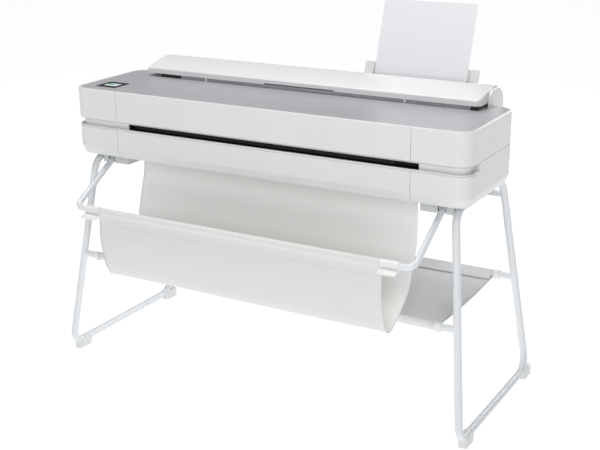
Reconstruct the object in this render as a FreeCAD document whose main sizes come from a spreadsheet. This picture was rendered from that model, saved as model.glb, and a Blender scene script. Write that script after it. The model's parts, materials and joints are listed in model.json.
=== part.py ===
import FreeCAD, Part
import math
import os
import re
import Sketcher

# Large format plotter on a tubular stand, in millimetres. +X is to the right of someone who
# faces the front, +Y is to the rear and +Z is up from the floor. The origin is on the floor,
# in the middle of the whole machine. Lengths along Y are measured back from the front face of
# the housing, and every piece is then moved by front_y.

SIZES = {
    # Housing: two rounded shells, one above the other, with a groove between them.
    "front_y": -174,
    "body_width": 1317, "body_depth": 344, "corner_radius": 46, "wall": 3.5,
    "upper_top": 876, "upper_bottom": 783, "lower_top": 761, "lower_bottom": 668,
    "rim_round": 3, "rim_low": 870.5, "rim_play": 0.4, "chamfer_height": 25, "chamfer_inset": 11,
    "seam_x": 491.5, "seam_gap": 1.2, "shell_gap": 2.2,
    "rear_seam_angle": 30, "rear_gap_angle": 4.5,
    # Groove and output slot.
    "groove_depth": 13, "slope_drop": 1.5, "groove_thick": 3, "groove_back": 85, "lip_height": 4.5,
    "parting_gap": 0.9, "slope_height": 5.4, "slope_depth": 8.8, "groove_floor": 757.5,
    "slot_left": -456, "slot_right": 511,
    # Top panel, with the touch panel at its left.
    "panel_low": 872.5, "panel_high": 875.3, "panel_inset": 8, "panel_notch_y": 300,
    "touch_left": -607, "touch_front": 48, "touch_side": 77, "touch_corner": 5,
    # Roll bay: everything turns about or lies round the spindle's axis.
    "roll_y": 372, "roll_z": 871.5, "trough_inner": 50.5, "trough_outer": 53.5,
    "trough_left": -557, "trough_right": 581.6, "trough_rim": 871, "cheek_radius": 50.2,
    "cheek_thick": 9.2, "end_right": 591, "end_radius": 51.5, "end_front": 321, "end_corner": 25,
    "end_round": 3, "cheek_skin": 0.8, "spindle_radius": 8, "spindle_play": 0.05, "hub_radius": 28,
    "hub_thick": 12, "core_radius": 25.2, "core_length": 25, "roll_width": 914,
    # Roll cover: a flap that runs from its front face to a round back over the roll.
    "cover_left": -562, "cover_right": 581, "cover_front": 262, "cover_edge": 902,
    "cover_bottom": 886, "cover_bulge": 3.5, "cover_thick": 3, "cover_radius": 55.5,
    "cover_corner": 20, "cover_back_angle": 17, "cover_brow": 5, "grip_half": 121, "grip_height": 4,
    "hinge_y": 426.8, "hinge_z": 888.8, "barrel_radius": 5, "hinge_pin": 2, "hinge_play": 0.05,
    "barrel_start": 505, "barrel_end": 545, "knuckle_start": 480, "knuckle_gap": 0.5,
    # Sheet feeder, which leans back on the roll cover.
    "feed_y": 392.8, "feed_z": 921.1, "tray_lean": 17.9, "tray_left": 156, "tray_right": 522,
    "tray_height": 40.2, "tray_thick": 3.5, "sheet_left": 190, "sheet_width": 297,
    "sheet_above": 229.2, "sheet_below": 22, "sheet_thick": 0.3, "guide_thick": 4.6,
    "guide_height": 33.2, "guide_depth": 10, "extension_width": 250, "extension_height": 147,
    "extension_thick": 2.6, "pocket_gap": 0.4,
    # Paper path and carriage inside the housing.
    "pan_inset": 13.2, "pan_bottom": 672, "pan_thick": 2, "pan_top": 698,
    "frame_x": 560, "frame_thick": 3, "frame_front": 26, "frame_back": 304,
    "rod_y": 130, "rod_z": 835, "rod_radius": 6,
    "rod_play": 0.05, "carriage_x": 490, "carriage_width": 100, "carriage_front": 62,
    "carriage_back": 155, "carriage_low": 775, "carriage_high": 855,
    "platen_left": -470, "platen_right": 430, "platen_front": 50, "platen_back": 150,
    "platen_low": 745, "platen_high": 771,
    "feed_roller_y": 168, "feed_roller_z": 760, "feed_roller_radius": 12, "axle_radius": 4,
    "pinch_radius": 5, "pinch_gap": 0.3, "output_roller_y": 36, "output_roller_z": 763,
    "output_roller_radius": 6, "belt_y": 100, "belt_low": 858.5, "belt_height": 6,
    "pulley_radius": 8, "idler_x": 546, "motor_x": -540, "motor_radius": 14,
    "motor_length": 49, "belt_thick": 1, "belt_play": 0.1,
    "feed_pulley_radius": 20, "feed_pulley_x": -578, "feed_pulley_width": 8,
    "feed_motor_y": 240, "feed_motor_z": 735, "feed_motor_radius": 20,
    "motor_pulley_radius": 6,
    "guide_rear": 314, "guide_bend": 300, "guide_top": 868, "guide_foot": 186, "guide_low": 774,
    "station_front": 62, "station_back": 150, "station_top": 768, "station_half": 48,
    # Ink supplies at the right, and the pivot of the door over them. The door turns on an
    # arm that reaches round the rear cover's edge.
    "ink_left": 568, "ink_width": 18, "ink_gap": 1.5, "ink_front": 30, "ink_depth": 120,
    "ink_low": 789, "ink_high": 850, "ink_floor_top": 788.7, "ink_floor_thick": 3.7,
    "pivot_x": 627, "pivot_y": 333, "pivot_pin": 2, "pivot_play": 0.05,
    "pivot_barrel": 4, "pivot_low": 790, "pivot_high": 860, "neck_y": 292, "neck_thick": 3,
    # Stand: two leaning loops of tube, joined by a cross tube and two shelf bars.
    "tube_radius": 11, "rail_top_x": 611, "rail_top_z": 651, "rail_low_x": 683,
    "rail_low_z": 24, "leg_front_top": 36, "leg_front_low": -62, "leg_rear_top": 390,
    "leg_rear_low": 485, "bend_top": 50, "bend_low_front": 42, "bend_low_rear": 50,
    "foot_width": 27, "foot_length": 62, "foot_height": 31, "foot_inset": 21,
    "cross_radius": 9, "cross_z": 603, "bar_radius": 10, "bar_z": 335,
    "collar_radius": 12.5, "collar_x": 582, "collar_length": 19, "screw_radius": 2.6,
    "shelf_half": 581, "shelf_thick": 2, "sleeve_radius": 12.5,
    # Basket: a swinging U of tube, and fabric that hangs from the housing to its bar.
    "arm_radius": 9, "arm_x": 564, "arm_y": 65, "arm_z": 647, "bar_half": 565,
    "basket_bar_y": -127, "basket_bar_z": 535, "arm_bend": 25, "eye_radius": 10,
    "pin_radius": 4, "pin_play": 0.05, "bracket_inner": 498, "bracket_outer": 599.4,
    "bracket_front": 53, "bracket_back": 123, "bracket_low": 633, "bracket_high": 671.8,
    "bracket_corner": 6, "bracket_slot": 12, "pin_reach": 8, "slot_depth": 22,
    "fabric_half": 475, "fabric_thick": 2, "clip_inner": 472, "clip_outer": 524,
    "clip_thick": 3, "lip_reach": 30, "lip_root": 9, "lip_high": 10, "lip_low": 22,
    "lip_edge": 19.5, "lip_under": 15.5,
    # Rear connectors and power key.
    "key_x": -600, "key_z": 730, "key_radius": 8, "key_play": 0.3, "inlet_x": -560,
    "inlet_z": 716, "inlet_half_x": 15.5, "ports_x": -480, "ports_z": 716,
    "ports_half_x": 25.5, "plug_half_z": 12.5,
    # Electronics on the chassis pan.
    "supply_left": -300, "supply_right": -120, "supply_front": 205, "supply_back": 315,
    "supply_top": 740, "board_left": -540, "board_right": -330, "board_z": 680,
    "board_thick": 2, "chip_side": 30,
}

document = FreeCAD.newDocument("Plotter")
sheet = document.addObject("Spreadsheet::Sheet", "Sizes")
for row, (alias, size) in enumerate(SIZES.items(), start=1):
    sheet.set(f"A{row}", alias)
    sheet.set(f"B{row}", str(size))
    sheet.setAlias(f"B{row}", alias)
document.recompute()

nodes = []


# ---------------------------------------------------------------- helpers

def bound(expression):
    """The expression with each dimension's name turned into a reference to the sheet."""
    def refer(word):
        return "Sizes." + word.group() if word.group() in SIZES else word.group()
    return re.sub(r"[a-z_]+[a-z0-9_]*", refer, str(expression))


def number(expression):
    """The value that an expression has now."""
    return float(sheet.evalExpression(bound(expression)))


def vector(x, y, z):
    """A point of the machine; y is measured back from the housing's front face."""
    return FreeCAD.Vector(number(x), number(y) + number("front_y"), number(z))


def node(name, piece):
    """Makes a piece a sub-part of its own, written to the file of that name."""
    piece.Label = name
    nodes.append(piece)
    return piece


def place(piece, x, y, z):
    """Ties a piece's position to the sheet."""
    piece.setExpression("Placement.Base.x", bound(x))
    piece.setExpression("Placement.Base.y", bound(f"{y} + front_y"))
    piece.setExpression("Placement.Base.z", bound(z))


def box(name, x, y, z):
    """A box between two corners: x, y and z are each a pair, low and high."""
    piece = document.addObject("Part::Box", name)
    for side, (low, high) in zip(("Length", "Width", "Height"), (x, y, z)):
        piece.setExpression(side, bound(f"({high}) - ({low})"))
    place(piece, x[0], y[0], z[0])
    return piece


def cylinder(name, axis, radius, start, y, z, end):
    """A cylinder along X, Y or Z. start and end are along its axis; y and z, in order, are
    the two other coordinates of its centre line."""
    piece = document.addObject("Part::Cylinder", name)
    turns = {"X": ((0, 1, 0), 90), "Y": ((1, 0, 0), -90), "Z": ((0, 0, 1), 0)}
    spin, angle = turns[axis]
    piece.Placement = FreeCAD.Placement(
        FreeCAD.Vector(), FreeCAD.Rotation(FreeCAD.Vector(*spin), angle))
    piece.setExpression("Radius", bound(radius))
    piece.setExpression("Height", bound(f"({end}) - ({start})"))
    places = {"X": (start, y, z), "Y": (y, start, z), "Z": (y, z, start)}
    place(piece, *places[axis])
    return piece


def cut(name, base, *tools):
    """The base with every tool taken out of it."""
    piece = document.addObject("Part::Cut", name)
    piece.Base = base
    piece.Tool = tools[0] if len(tools) == 1 else fuse(name + "_tools", *tools)
    return piece


def fuse(name, *parts):
    """The parts joined into one solid."""
    piece = document.addObject("Part::MultiFuse", name)
    piece.Shapes = list(parts)
    piece.Refine = True
    return piece


def common(name, base, tool):
    """What two shapes have in common."""
    piece = document.addObject("Part::Common", name)
    piece.Base = base
    piece.Tool = tool
    return piece


def group(name, *parts):
    """Several separate solids kept together."""
    piece = document.addObject("Part::Compound", name)
    piece.Links = list(parts)
    return piece


def shaped(name, shape):
    """A piece whose shape is worked out in full machine coordinates."""
    piece = document.addObject("Part::Feature", name)
    piece.Shape = shape
    return piece


def origin_plane(body, role):
    """One of a body's own origin planes."""
    return next(item for item in body.Origin.OriginFeatures if item.Role == role)


def sketch_on(body, role, offset):
    """An empty sketch on one of the body's planes, moved along its normal."""
    sketch = body.newObject("Sketcher::SketchObject", body.Name + "_sketch")
    sketch.AttachmentSupport = [(origin_plane(body, role), "")]
    sketch.MapMode = "FlatFace"
    sketch.setExpression("AttachmentOffset.Base.z", bound(offset))
    return sketch


def hold(sketch, kind, line, end, expression):
    """Ties one coordinate of a line's end to the sheet."""
    sketch.addConstraint(Sketcher.Constraint(kind, line, end, number(expression)))
    sketch.setExpression(f"Constraints[{sketch.ConstraintCount - 1}]", bound(expression))


def rounded_rectangle(sketch, left, right, front, back, radius):
    """Draws a rectangle with four equal round corners."""
    low_x, high_x, low_y, high_y, bend = map(number, (left, right, front, back, radius))
    point = FreeCAD.Vector
    corners = [(low_x, low_y), (high_x, low_y), (high_x, high_y), (low_x, high_y)]
    ways = [(1, 0), (0, 1), (-1, 0), (0, -1)]
    for (x, y), (along_x, along_y), (next_x, next_y) in zip(
            corners, ways, corners[1:] + corners[:1]):
        sketch.addGeometry(Part.LineSegment(
            point(x + bend * along_x, y + bend * along_y, 0),
            point(next_x - bend * along_x, next_y - bend * along_y, 0)))
    for turn, (x, y) in enumerate(corners[1:] + corners[:1]):
        centre = point(x + (bend if x < 0.5 * (low_x + high_x) else -bend),
                       y + (bend if y < 0.5 * (low_y + high_y) else -bend), 0)
        circle = Part.Circle(centre, point(0, 0, 1), bend)
        start = math.radians(90 * turn - 90)
        sketch.addGeometry(Part.ArcOfCircle(circle, start, start + math.pi / 2))
    for side in range(4):
        sketch.addConstraint(Sketcher.Constraint("Tangent", side, 2, side + 4, 1))
        sketch.addConstraint(Sketcher.Constraint("Tangent", side + 4, 2, (side + 1) % 4, 1))
    for side, level in enumerate(("Horizontal", "Vertical") * 2):
        sketch.addConstraint(Sketcher.Constraint(level, side))
    for arc in (5, 6, 7):
        sketch.addConstraint(Sketcher.Constraint("Equal", 4, arc))
    sketch.addConstraint(Sketcher.Constraint("Radius", 4, bend))
    sketch.setExpression(f"Constraints[{sketch.ConstraintCount - 1}]", bound(radius))
    hold(sketch, "DistanceY", 0, 1, front)
    hold(sketch, "DistanceX", 1, 1, right)
    hold(sketch, "DistanceY", 2, 1, back)
    hold(sketch, "DistanceX", 3, 1, left)


def new_body(name):
    """A body that stands in machine coordinates."""
    body = document.addObject("PartDesign::Body", name)
    body.setExpression("Placement.Base.y", bound("front_y"))
    return body


def pad_up(body, sketch, length):
    """Pads a sketch along its normal."""
    pad = body.newObject("PartDesign::Pad", body.Name + "_pad")
    pad.Profile = sketch
    pad.setExpression("Length", bound(length))
    sketch.Visibility = False
    document.recompute()
    return pad


def face_name(feature, pick):
    """The name of the flat face that is highest or lowest; pick is max or min."""
    faces = [(face.CenterOfMass.z, index) for index, face in
             enumerate(feature.Shape.Faces, start=1) if face.normalAt(0, 0).z ** 2 > 0.99]
    return f"Face{pick(faces)[1]}"


def block(name, left, right, front, back, radius, low, high, round_top=None, bevel=None):
    """A rounded rectangular block. round_top rounds its upper edge; bevel, a pair of depth
    and height, bevels its lower edge."""
    body = new_body(name)
    sketch = sketch_on(body, "XY_Plane", low)
    rounded_rectangle(sketch, left, right, front, back, radius)
    feature = pad_up(body, sketch, f"({high}) - ({low})")
    if round_top:
        fillet = body.newObject("PartDesign::Fillet", name + "_round")
        fillet.Base = (feature, [face_name(feature, max)])
        fillet.setExpression("Radius", bound(round_top))
        document.recompute()
        feature = fillet
    if bevel:
        depth, height = bevel
        before = feature.Shape.BoundBox
        chamfer = body.newObject("PartDesign::Chamfer", name + "_bevel")
        chamfer.Base = (feature, [face_name(feature, min)])
        chamfer.ChamferType = "Two distances"
        chamfer.setExpression("Size", bound(depth))
        chamfer.setExpression("Size2", bound(height))
        for flipped in (False, True):
            chamfer.FlipDirection = flipped
            document.recompute()
            faces = chamfer.Shape.Faces
            floor = min((face.BoundBox for face in faces), key=lambda room: room.ZMax,
                        default=before)
            if abs(before.XMax - floor.XMax - number(depth)) < 0.01:
                break
    return body


def housing(name, inset, low, high, **edges):
    """A block with the outline of the housing, inset from it all round."""
    return block(name, f"{inset} - body_width / 2", f"body_width / 2 - ({inset})", inset,
                 f"body_depth - ({inset})", f"corner_radius - ({inset})", low, high, **edges)


def profile(name, role, points, start, length):
    """A prism whose outline is straight lines between points, on one of the planes. On
    YZ_Plane a point is (y, z) and the prism runs along X; on XY_Plane it is (x, y) and the
    prism runs along Z."""
    body = new_body(name)
    sketch = sketch_on(body, role, start)
    places = [FreeCAD.Vector(number(a), number(b), 0) for a, b in points]
    for this, following in zip(places, places[1:] + places[:1]):
        sketch.addGeometry(Part.LineSegment(this, following))
    for line, (across, up) in enumerate(points):
        sketch.addConstraint(
            Sketcher.Constraint("Coincident", line, 2, (line + 1) % len(points), 1))
        hold(sketch, "DistanceX", line, 1, across)
        hold(sketch, "DistanceY", line, 1, up)
    pad_up(body, sketch, length)
    return body


def rounded_path(corners, radii, closed=False):
    """A wire through the corners with a tangent arc at each; an open path's two ends have no
    arc, so radii has one value for each corner between them."""
    count = len(corners)
    turning = range(count) if closed else range(1, count - 1)
    arcs = {}
    for index, radius in zip(turning, radii):
        corner = corners[index]
        back = (corners[index - 1] - corner).normalize()
        ahead = (corners[(index + 1) % count] - corner).normalize()
        half = back.getAngle(ahead) / 2
        reach = radius / math.tan(half)
        middle = (back + ahead).normalize() * (radius / math.sin(half) - radius)
        arcs[index] = (corner + back * reach, corner + middle, corner + ahead * reach)
    edges = []
    if closed:
        start = (arcs[count - 1][2] + arcs[0][0]) / 2
        here = start
    else:
        here = corners[0]
    for index in turning:
        enter, middle, leave = arcs[index]
        edges.append(Part.LineSegment(here, enter).toShape())
        edges.append(Part.Arc(enter, middle, leave).toShape())
        here = leave
    edges.append(Part.LineSegment(here, start if closed else corners[-1]).toShape())
    return Part.Wire(edges)


def tube_along(wire, radius):
    """A round bar along a wire."""
    first = wire.Edges[0]
    start = first.valueAt(first.FirstParameter)
    way = first.tangentAt(first.FirstParameter)
    ring = Part.Wire([Part.Circle(start, way, radius).toShape()])
    solid = wire.makePipeShell([ring], True, True)
    expected = math.pi * radius ** 2 * wire.Length
    if abs(solid.Volume - expected) > 0.01 * expected:
        raise ValueError(f"bar volume {solid.Volume:.0f}, expected {expected:.0f}")
    return solid


def mirrored(name, piece):
    """The piece's mirror image in the machine's middle plane."""
    twin = document.addObject("Part::Mirroring", name)
    twin.Source = piece
    twin.Normal = FreeCAD.Vector(1, 0, 0)
    return twin


# ---------------------------------------------------------------- housing shells

def split_shell(shell, prefix, low, high):
    """Cuts a ring-shaped shell at its seams into front, left, right and rear pieces. The
    rear seams run straight out from the middle of the round rear corners."""
    corner_x, corner_y = "body_width / 2 - corner_radius", "body_depth - corner_radius"
    seam, out = "seam_x + seam_gap / 2", "body_width / 2 + corner_radius"
    rise = "2 * corner_radius * tan(rear_seam_angle)"
    rear_rise = "2 * corner_radius * tan(rear_seam_angle + rear_gap_angle)"
    behind = "body_depth + corner_radius"

    def mirror(points):
        return [(f"0 - ({x})", y) for x, y in reversed(points)]

    side = [(seam, "0 - 1"), (out, "0 - 1"), (out, f"{corner_y} + {rise}"),
            (corner_x, corner_y), (seam, corner_y)]
    rear = [(corner_x, corner_y), (out, f"{corner_y} + {rear_rise}"), (out, behind)]
    outlines = {
        "front": [("seam_gap / 2 - seam_x", "0 - 1"), ("seam_x - seam_gap / 2", "0 - 1"),
                  ("seam_x - seam_gap / 2", "corner_radius / 2"),
                  ("seam_gap / 2 - seam_x", "corner_radius / 2")],
        "left": mirror(side),
        "right": side,
        "rear": rear + mirror(rear),
    }
    return {word: common(f"{prefix}_{word}_ring", shell,
                         profile(f"{prefix}_{word}_zone", "XY_Plane", outline, low,
                                 f"({high}) - ({low})"))
            for word, outline in outlines.items()}


def upper_shell():
    """The upper shell: front window, left end, ink door and rear cover."""
    outer = housing("upper_outer", 0, "upper_bottom", "upper_top", round_top="rim_round")
    inner = housing("upper_inner", "wall", "upper_bottom - 1", "rim_low")
    mouth = housing("upper_mouth", "panel_inset - rim_play", "rim_low - 1", "upper_top + 1")
    pieces = split_shell(cut("upper_shell", outer, inner, mouth), "upper",
                         "upper_bottom - 1", "upper_top + 1")
    node("front_window", pieces["front"])
    node("upper_left_cover", pieces["left"])

    room = ("pivot_low", "pivot_high")
    barrel = cylinder("door_barrel", "Z", "pivot_barrel", room[0], "pivot_x", "pivot_y",
                      room[1])
    stem_left = "pivot_x - pivot_barrel"
    stem = box("door_stem", (stem_left, stem_left + " + neck_thick"), ("neck_y", "pivot_y"),
               room)
    neck = box("door_neck", (stem_left, "body_width / 2 - wall / 2"),
               ("neck_y - neck_thick", "neck_y"), room)
    bore = cylinder("door_bore", "Z", "pivot_pin + pivot_play", "pivot_low - 1", "pivot_x",
                    "pivot_y", "pivot_high + 1")
    door = fuse("door_solid", pieces["right"], barrel, stem, neck)
    node("ink_door", cut("door_bored", door, bore))

    notch = box("roll_notch", ("trough_left - 1", "end_right + 1"),
                ("body_depth - corner_radius / 2", "body_depth + 2"),
                ("roll_z - trough_outer + 1", "upper_top + 2"))
    node("upper_rear_cover", cut("upper_rear_notched", pieces["rear"], notch))


def lower_shell():
    """The lower shell: its front is lower, to leave the groove open, and its sides rise to
    meet the upper shell."""
    outer = housing("lower_outer", 0, "lower_bottom", "upper_bottom - shell_gap",
                    bevel=("chamfer_inset", "chamfer_height"))
    inner = housing("lower_inner", "wall", "lower_bottom - 1", "upper_bottom",
                    bevel=("chamfer_inset", "chamfer_height + 1"))
    ring = cut("lower_shell", outer, inner)
    groove = box("groove_zone", ("0 - body_width", "body_width"), ("0 - 1", "groove_back"),
                 ("lower_top - lip_height - parting_gap", "upper_bottom + 1"))
    pieces = split_shell(cut("lower_open_ring", ring, groove), "lower",
                         "lower_bottom - 1", "upper_bottom + 1")
    node("lower_front_cover", pieces["front"])
    node("lower_left_cover", pieces["left"])
    node("lower_right_cover", pieces["right"])
    key_hole = cylinder("key_hole", "Y", "key_radius + key_play", "body_depth - 10", "key_x",
                        "key_z", "body_depth + 2")
    holes = [key_hole]
    for word in ("inlet", "ports"):
        holes.append(box(f"{word}_hole",
                         (f"{word}_x - {word}_half_x", f"{word}_x + {word}_half_x"),
                         ("body_depth - 8", "body_depth + 2"),
                         (f"{word}_z - plug_half_z", f"{word}_z + plug_half_z")))
    node("lower_rear_cover", cut("lower_rear_holed", pieces["rear"], *holes))


def front_zone(name, low, high):
    """The room in front of the groove's back end."""
    return box(name, ("0 - body_width", "body_width"), ("0 - 2", "groove_back"), (low, high))


def groove_pieces():
    """The bright lip on the lower shell, the grey groove and the black guide in its slot."""
    lip = housing("lip_outer", 0, "lower_top - lip_height", "lower_top", round_top="rim_round")
    lip_inner = housing("lip_inner", "wall", "lower_top - 10", "lower_top + 1")
    lip_ring = cut("lip_ring", lip, lip_inner)
    node("output_lip", common("lip_front", lip_ring, front_zone(
        "lip_zone", "lower_top - 10", "lower_top + 2")))

    slope_top = "upper_bottom - slope_drop"
    slope_bottom = "upper_bottom - slope_drop - slope_height"
    back = housing("groove_back_block", "groove_depth", "groove_floor", slope_bottom)
    slope = housing("groove_slope_block", "wall + 0.5", slope_bottom, slope_top,
                    bevel=("slope_depth", "slope_height - 0.2"))
    floor = housing("groove_floor_block", "wall + 0.2", "groove_floor - 4", "groove_floor")
    inside = housing("groove_inside", "groove_depth + groove_thick", "groove_floor - 5",
                     "upper_bottom + 1")
    opening = box("slot_opening", ("slot_left", "slot_right"), ("0 - 1", "groove_depth + 10"),
                  ("groove_floor + 0.5", slope_bottom + " - 0.5"))
    ring = cut("groove_ring", fuse("groove_solid", back, slope, floor), inside, opening)
    node("output_groove", common("groove_front", ring, front_zone(
        "groove_front_zone", "groove_floor - 6", "upper_bottom + 2")))

    guide = box("guide_block", ("slot_left", "slot_right"),
                ("groove_depth + groove_thick + 0.2", "platen_front - 2"),
                ("groove_floor - 3", "upper_bottom - 4"))
    hollow = box("guide_hollow", ("slot_left + 3", "slot_right - 3"), ("0", "platen_front"),
                 ("groove_floor", "upper_bottom - 6.5"))
    room = box("guide_roller_room", ("slot_left + 10", "platen_right + 10"),
               ("output_roller_y - 8", "output_roller_y + 8"),
               ("groove_floor - 5", "groove_floor + 2"))
    axle_room = cylinder("guide_axle_room", "X", "axle_radius / 2 + 0.6", "slot_left - 1",
                         "output_roller_y", "output_roller_z", "slot_right + 1")
    node("output_guide", cut("guide_channel", guide, hollow, room, axle_room))


def top_pieces():
    """The grey top panel with a notch over the roll bay, and the touch panel set in it."""
    plate = housing("panel_plate", "panel_inset", "panel_low", "panel_high")
    notch = box("panel_notch", ("trough_left - 1", "end_right + 1"),
                ("panel_notch_y", "body_depth"), ("panel_low - 1", "panel_high + 1"))
    seat = block("touch_seat", "touch_left - 0.4", "touch_left + touch_side + 0.4",
                 "touch_front - 0.4", "touch_front + touch_side + 0.4", "touch_corner + 0.4",
                 "panel_low - 1", "panel_high + 1")
    node("top_panel", cut("panel_notched", plate, notch, seat))
    node("touch_panel", block("touch_glass", "touch_left", "touch_left + touch_side",
                              "touch_front", "touch_front + touch_side", "touch_corner",
                              "panel_low", "panel_high + 0.3"))


# ---------------------------------------------------------------- roll bay and cover

def roll_cylinder(name, radius, left, right):
    """A cylinder about the spindle's axis."""
    return cylinder(name, "X", radius, left, "roll_y", "roll_z", right)


def roll_bay():
    """The half-round trough behind the housing, its two cheeks, and the spindle they carry."""
    above = box("trough_above", ("trough_left - 1", "trough_right + 1"),
                ("roll_y - 60", "roll_y + 60"), ("trough_rim", "roll_z + 60"))
    trough = cut("trough_half",
                 roll_cylinder("trough_outside", "trough_outer", "trough_left", "trough_right"),
                 roll_cylinder("trough_inside", "trough_inner", "trough_left - 1",
                               "trough_right + 1"), above)
    parts = [trough]
    bores = []
    for side, word in ((-1, "left"), (1, "right")):
        low, high = sorted((f"{side} * knuckle_start", f"{side} * (barrel_start - knuckle_gap)"),
                           key=number)
        parts.append(cylinder(f"knuckle_{word}", "X", "barrel_radius", low, "hinge_y",
                              "hinge_z", high))
        parts.append(box(f"knuckle_arm_{word}", (low, high),
                         ("hinge_y - 4.5", "hinge_y + 2.5"), ("trough_rim - 14", "hinge_z")))
        bores.append(cylinder(f"knuckle_bore_{word}", "X", "hinge_pin", low + " - 1",
                              "hinge_y", "hinge_z", high + " + 1"))
    node("roll_trough", cut("trough_solid", fuse("trough_joined", *parts), *bores))

    bore = roll_cylinder("cheek_bore", "spindle_radius + spindle_play",
                         "trough_left + cheek_skin", "end_right - cheek_skin")
    left = cut("cheek_left", roll_cylinder("cheek_left_disc", "cheek_radius", "trough_left",
                                           "trough_left + cheek_thick"), bore)
    right = cut("cheek_right", end_block("end_right - cheek_thick", "end_right"), bore)
    node("roll_cheeks", group("cheeks", left, right))

    node("spindle", roll_cylinder("spindle_bar", "spindle_radius", "trough_left + 1",
                                  "end_right - 1"))
    hubs = []
    for side, word in ((-1, "left"), (1, "right")):
        low, high = sorted((f"{side} * roll_width / 2", f"{side} * (roll_width / 2 + hub_thick)"),
                           key=number)
        nose_low, nose_high = sorted((f"{side} * (roll_width / 2 - core_length)",
                                      f"{side} * (roll_width / 2 + 1)"), key=number)
        solid = fuse(f"hub_solid_{word}", roll_cylinder(f"hub_disc_{word}", "hub_radius", low,
                                                        high),
                     roll_cylinder(f"hub_nose_{word}", "core_radius", nose_low, nose_high))
        hubs.append(cut(f"hub_{word}", solid, roll_cylinder(
            f"hub_bore_{word}", "spindle_radius", "trough_left", "end_right")))
    node("spindle_hubs", group("hubs", *hubs))


def end_block(left, right):
    """The right cheek: round behind, and upright in front with a rounded corner above. The
    edge of its outer face is rounded too."""
    top = "roll_z + end_radius - 1"
    pieces = [
        roll_cylinder("end_disc", "end_radius", left, right),
        box("end_low", (left, right), ("end_front", "roll_y"),
            ("roll_z - end_corner", f"{top} - end_corner")),
        box("end_high", (left, right), ("end_front + end_corner", "roll_y"),
            (f"{top} - end_corner - 1", top)),
        cylinder("end_turn", "X", "end_corner", left, "end_front + end_corner",
                 f"{top} - end_corner", right)]
    joined = fuse("end_joined", *pieces)
    document.recompute()
    rim = [edge for edge in joined.Shape.Edges
           if edge.BoundBox.XMin > number(right) - 0.01]
    return shaped("end_rounded", joined.Shape.makeFillet(number("end_round"), rim))


def cover_outline(inset, left, right, bottom, corner):
    """A solid with the roll cover's section, inset by a thickness: a front face, a slightly
    bulging slope that meets the round back, and the round back itself."""
    centre_y, centre_z = number("roll_y"), number("roll_z")
    radius = number("cover_radius") - inset
    front = number("cover_front") + inset
    full_reach = math.hypot(centre_y - number("cover_front"), centre_z - number("cover_edge"))
    slope = math.asin(number("cover_radius") / full_reach) + math.atan2(
        centre_z - number("cover_edge"), centre_y - number("cover_front"))
    tangent = (centre_y - radius * math.sin(slope), centre_z + radius * math.cos(slope))
    edge_z = tangent[1] - (tangent[0] - front) * math.tan(slope)
    bulge = number("cover_bulge")
    crown = ((front + tangent[0]) / 2 - bulge * math.sin(slope),
             (edge_z + tangent[1]) / 2 + bulge * math.cos(slope))
    back = math.radians(number("cover_back_angle"))
    top = math.radians(70)
    arc = [(centre_y + radius * math.cos(angle), centre_z + radius * math.sin(angle))
           for angle in (top, back)]

    def at(y, z):
        return FreeCAD.Vector(left, y + number("front_y"), z)

    end = at(*arc[1])
    lowest = min(bottom, arc[1][1])
    edges = [
        Part.LineSegment(at(front, bottom), at(front, edge_z)).toShape(),
        Part.Arc(at(front, edge_z), at(*crown), at(*tangent)).toShape(),
        Part.Arc(at(*tangent), at(*arc[0]), end).toShape(),
        Part.LineSegment(end, at(arc[1][0], lowest - 0.5)).toShape(),
        Part.LineSegment(at(arc[1][0], lowest - 0.5), at(arc[1][0] - 1, bottom)).toShape(),
        Part.LineSegment(at(arc[1][0] - 1, bottom), at(front, bottom)).toShape(),
    ]
    solid = Part.Face(Part.Wire(edges)).extrude(FreeCAD.Vector(right - left, 0, 0))
    corner_edges = [edge for edge in solid.Edges
                    if edge.BoundBox.XMin > right - 0.01 and
                    edge.BoundBox.YMax < front + number("front_y") + 0.01]
    return solid.makeFillet(corner, corner_edges)


def rounded_brow(solid):
    """The cover's outside with its long front upper edge rounded."""
    front = min(vertex.Y for vertex in solid.Vertexes)
    edges = [edge for edge in solid.Edges
             if edge.BoundBox.XLength > number("cover_right - cover_left - 2 * cover_corner")
             and edge.BoundBox.YMax < front + 0.01
             and edge.BoundBox.ZMin > number("cover_bottom + 1")]
    return solid.makeFillet(number("cover_brow"), edges)


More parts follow.
